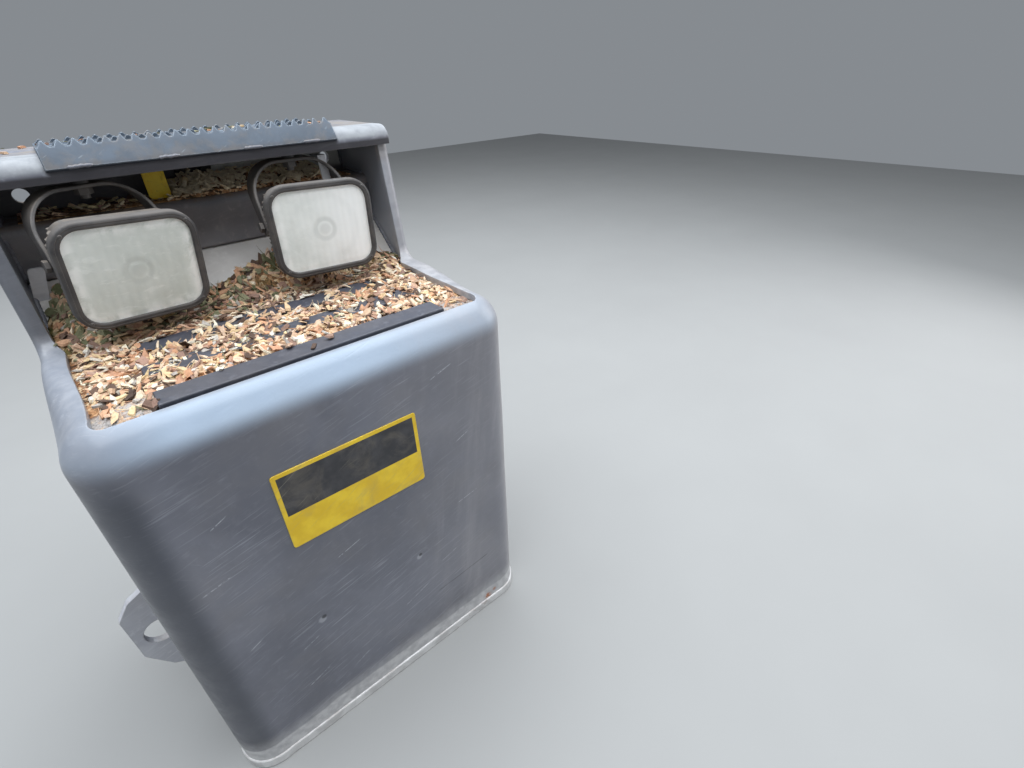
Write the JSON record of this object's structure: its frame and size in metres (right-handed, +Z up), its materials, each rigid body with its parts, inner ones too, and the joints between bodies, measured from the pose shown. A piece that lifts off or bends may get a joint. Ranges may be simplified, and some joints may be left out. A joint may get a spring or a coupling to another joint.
{
  "type": "side boarding step and work-lamp guard of a forestry harvester",
  "caption": "Grey steel guard with a rounded face, a litter-strewn lower tread, a toothed upper tread and work lamps that swivel and tilt, off the side of a forestry harvester.",
  "frame": {"origin": "centre of the bolt holes on the mounting plate's rear face", "axes": "+X along the face to the viewer's right, +Y into the machine, +Z up; the face looks along -Y"},
  "size_m": [0.5874, 0.4345, 0.8401],
  "materials": {
    "guard_grey": "weathered dark grey paint with pale scratches",
    "tread_slate": "slate grey paint under wood litter",
    "tread_blue_grey": "blue-grey paint, teeth worn bright",
    "inner_dark": "dusty dark grey paint",
    "bare_edge": "paint worn off to dull steel",
    "sign_two_tone": "blank black and yellow panel",
    "tag_yellow": "blank yellow, dusty",
    "lamp_frame": "dusty black",
    "lamp_case": "cast, dark and dusty",
    "lamp_glass": "patterned glass with a film of dust",
    "reflector": "bright",
    "bulb_glass": "clear",
    "zinc_steel": "dull zinc",
    "grommet_rubber": "matt"
  },
  "bodies": {
    "guard": {"front_shell": "guard_grey", "bottom_edge_bar": "bare_edge", "cheek_left": "guard_grey", "cheek_right": "guard_grey", "top_plate": "guard_grey", "lower_tread": "tread_slate", "tread_bars": "tread_slate", "back_slope": "inner_dark", "cross_member": "inner_dark", "mounting_plate": "inner_dark", "cable_grommet": "grommet_rubber", "face_stiffener": "inner_dark", "lower_brace": "inner_dark", "lashing_eye": "guard_grey", "upper_tread": "tread_blue_grey", "harness_tab": "zinc_steel", "sign_plate": "sign_two_tone", "hanging_tag": "tag_yellow", "lamp_left_stud": "zinc_steel", "lamp_right_stud": "zinc_steel"},
    "lamp_left_bracket": {"lamp_left_yoke": "zinc_steel"},
    "lamp_left_head": {"lamp_left_housing": "lamp_case", "lamp_left_bezel": "lamp_frame", "lamp_left_lens": "lamp_glass", "lamp_left_reflector": "reflector", "lamp_left_bulb": "bulb_glass", "lamp_left_pivot_bolts": "zinc_steel"},
    "lamp_right_bracket": {"lamp_right_yoke": "zinc_steel"},
    "lamp_right_head": {"lamp_right_housing": "lamp_case", "lamp_right_bezel": "lamp_frame", "lamp_right_lens": "lamp_glass", "lamp_right_reflector": "reflector", "lamp_right_bulb": "bulb_glass", "lamp_right_pivot_bolts": "zinc_steel"}
  },
  "joints": [
    {"name": "lamp_left_swivel", "type": "hinge", "parent": "guard", "child": "lamp_left_bracket", "pos_m": [-0.14357, -0.12341, 0.29], "axis": [0, 0, 1], "range_deg": [-13, 12]},
    {"name": "lamp_left_tilt", "type": "hinge", "parent": "lamp_left_bracket", "child": "lamp_left_head", "pos_m": [-0.13994, -0.16856, 0.21204], "axis": [0.9791, 0.1923, -0.0657], "range_deg": [-27, 17]},
    {"name": "lamp_right_swivel", "type": "hinge", "parent": "guard", "child": "lamp_right_bracket", "pos_m": [0.10714, -0.12226, 0.29], "axis": [0, 0, 1], "range_deg": [-17, 23]},
    {"name": "lamp_right_tilt", "type": "hinge", "parent": "lamp_right_bracket", "child": "lamp_right_head", "pos_m": [0.10264, -0.16709, 0.20763], "axis": [0.9983, -0.052, -0.0262], "range_deg": [-20, 25]}
  ]
}
